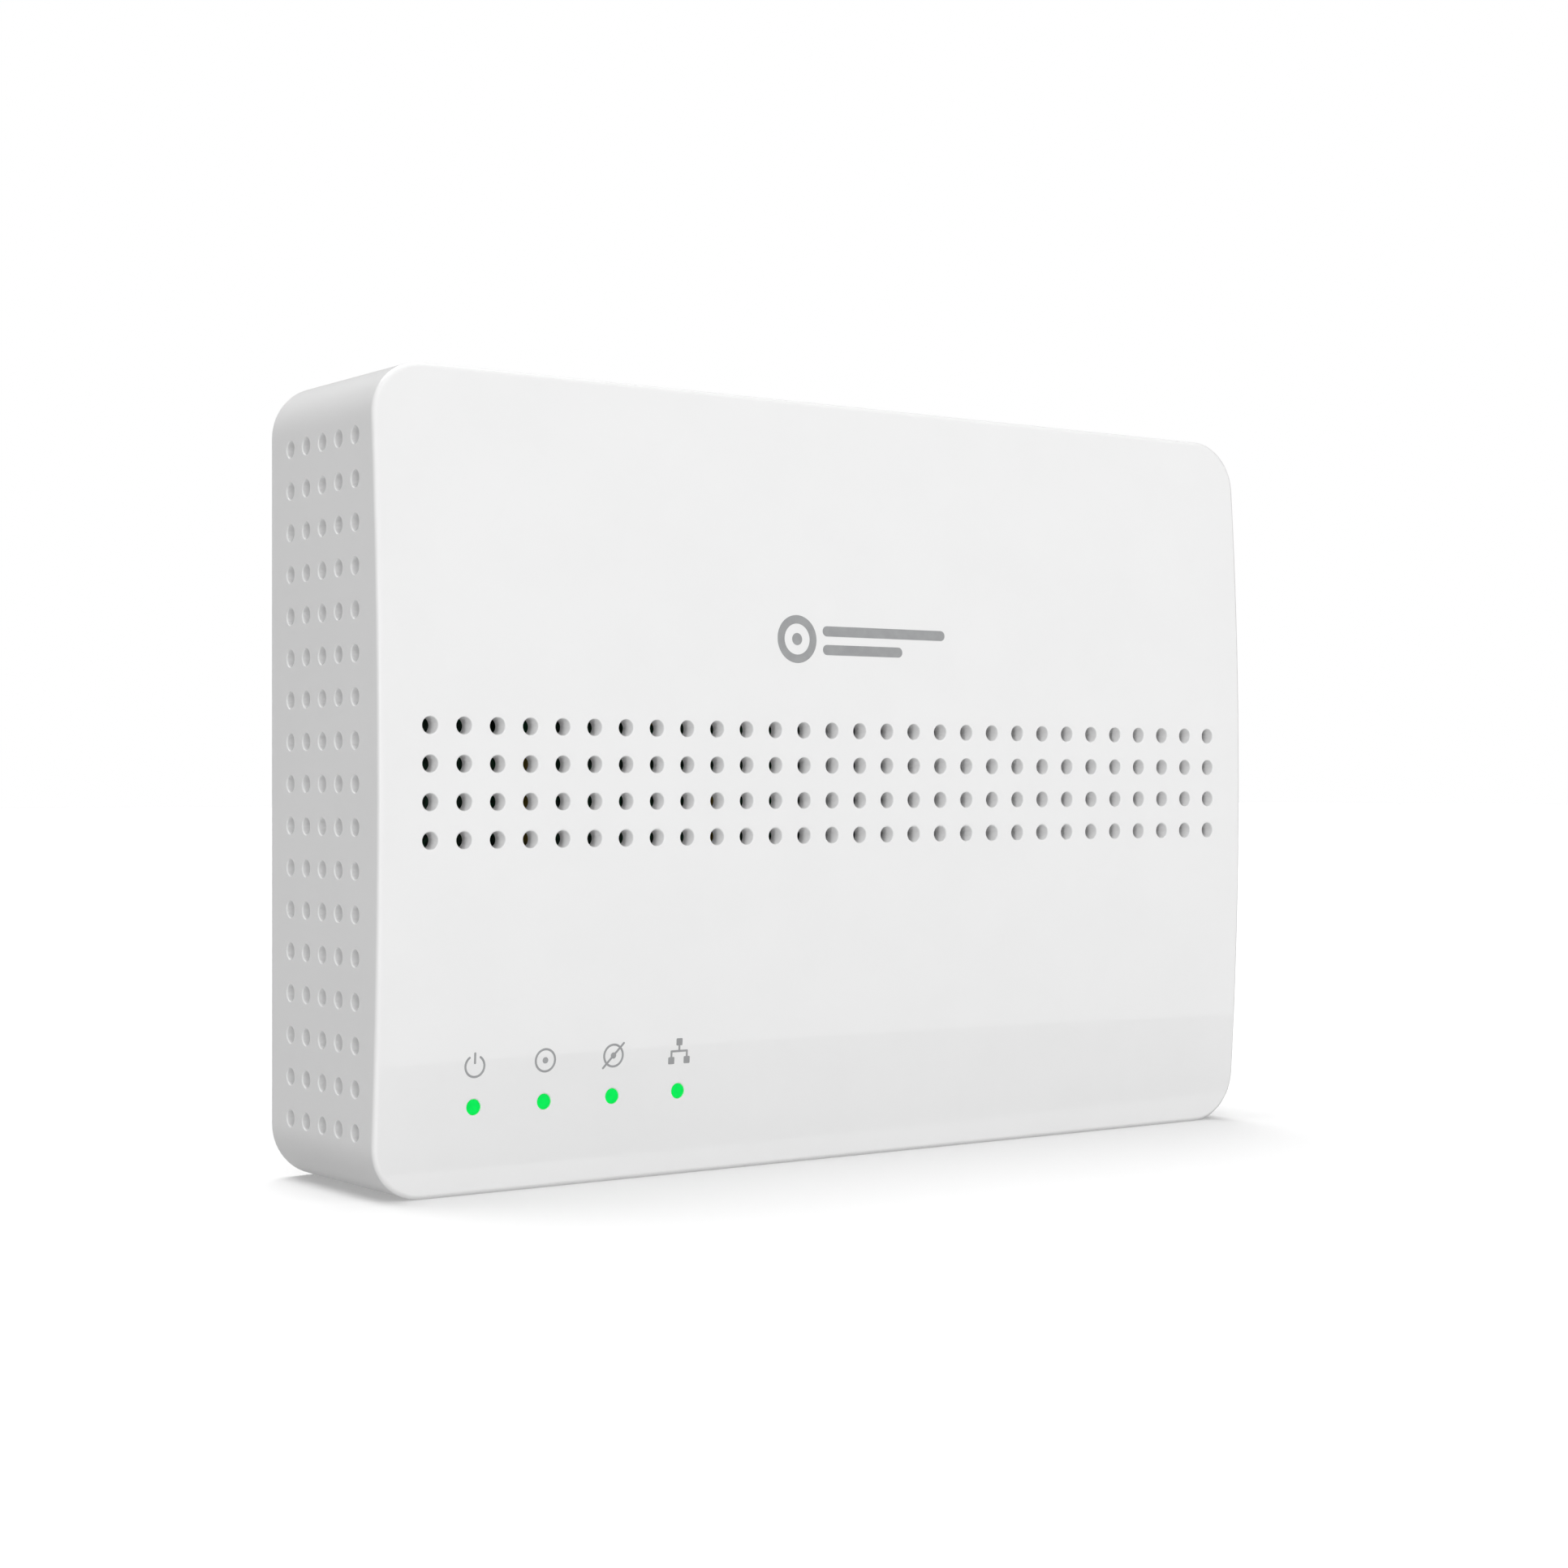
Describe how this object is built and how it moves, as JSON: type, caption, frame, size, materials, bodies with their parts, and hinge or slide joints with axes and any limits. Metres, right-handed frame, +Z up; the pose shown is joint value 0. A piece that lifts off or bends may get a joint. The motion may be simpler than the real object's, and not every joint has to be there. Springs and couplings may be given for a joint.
{
  "type": "optical network terminal",
  "caption": "Slim white optical network terminal with a bowed vented face, lit status lamps, a fibre port under a dust shutter, a network jack and a power jack.",
  "frame": {"origin": "middle of the base: centre of the width and of the total depth, on the surface that the box stands on", "axes": "+X along the width, to the right seen from the front; +Y from the front face to the back; +Z up, towards the connector edge"},
  "size_m": [0.1156, 0.0248, 0.0824],
  "materials": {
    "cover_white": "satin",
    "foot_rubber": "matte",
    "boot_rubber": "matte",
    "screw_steel": "satin",
    "label_paper": "matte",
    "board_green": "satin",
    "chip_black": "matte",
    "jack_grey": "satin",
    "pad_blue": "matte",
    "sink_aluminium": "satin",
    "can_aluminium": "satin",
    "tinned_steel": "satin",
    "ferrite_grey": "matte",
    "capacitor_tan": "matte",
    "connector_green": "gloss",
    "zirconia_white": "polished",
    "fibre_yellow": "satin",
    "module_zinc": "satin",
    "can_gold": "polished",
    "stem_cream": "satin",
    "lamp_green": "lit",
    "led_cream": "satin"
  },
  "bodies": {
    "housing": {"front_cover": "cover_white", "rear_cover": "cover_white", "rubber_feet": "foot_rubber", "cover_screws": "screw_steel", "rating_label": "label_paper", "circuit_board": "board_green", "pcb_screws": "screw_steel", "main_chip": "chip_black", "thermal_pad": "pad_blue", "heatsink": "sink_aluminium", "memory_chip": "chip_black", "flash_chip": "chip_black", "crystal": "tinned_steel", "lan_transformer": "chip_black", "electrolytic_capacitors": "can_aluminium", "power_inductors": "ferrite_grey", "ceramic_capacitors": "capacitor_tan", "sc_adapter": "connector_green", "ferrule_sleeve": "zirconia_white", "plug_ferrule": "zirconia_white", "fibre_plug": "connector_green", "plug_boot": "boot_rubber", "fibre_pigtail": "fibre_yellow", "optical_module": "module_zinc", "laser_can": "can_gold", "receiver_can": "can_gold", "shutter_pin": "screw_steel", "shutter_spring": "tinned_steel", "lan_jack_shield": "tinned_steel", "lan_jack_housing": "jack_grey", "lan_jack_contacts": "can_gold", "dc_jack_housing": "chip_black", "dc_centre_pin": "tinned_steel", "dc_spring_contact": "tinned_steel", "power_switch": "chip_black", "reset_switch": "chip_black", "light_guide": "lamp_green", "status_leds": "led_cream"},
    "power_button": {"power_button": "cover_white", "switch_stem": "stem_cream"},
    "reset_key": {"reset_plunger": "stem_cream"},
    "dust_shutter": {"port_shutter": "cover_white"}
  },
  "joints": [
    {"name": "power_button_press", "type": "slide", "parent": "housing", "child": "power_button", "axis": [0, 0, -1], "range_m": [0, 0.0014], "stiffness_N_per_m": 400, "springref_m": -0.003},
    {"name": "reset_press", "type": "slide", "parent": "housing", "child": "reset_key", "axis": [0, 0, -1], "range_m": [0, 0.0003], "stiffness_N_per_m": 1500, "springref_m": -0.0004},
    {"name": "shutter_hinge", "type": "hinge", "parent": "housing", "child": "dust_shutter", "pos_m": [-0.034, 0.0069, 0.0803], "axis": [-1, 0, 0], "range_deg": [0, 95], "stiffness_Nm_per_rad": 0.0008, "springref_deg": -22.92}
  ]
}
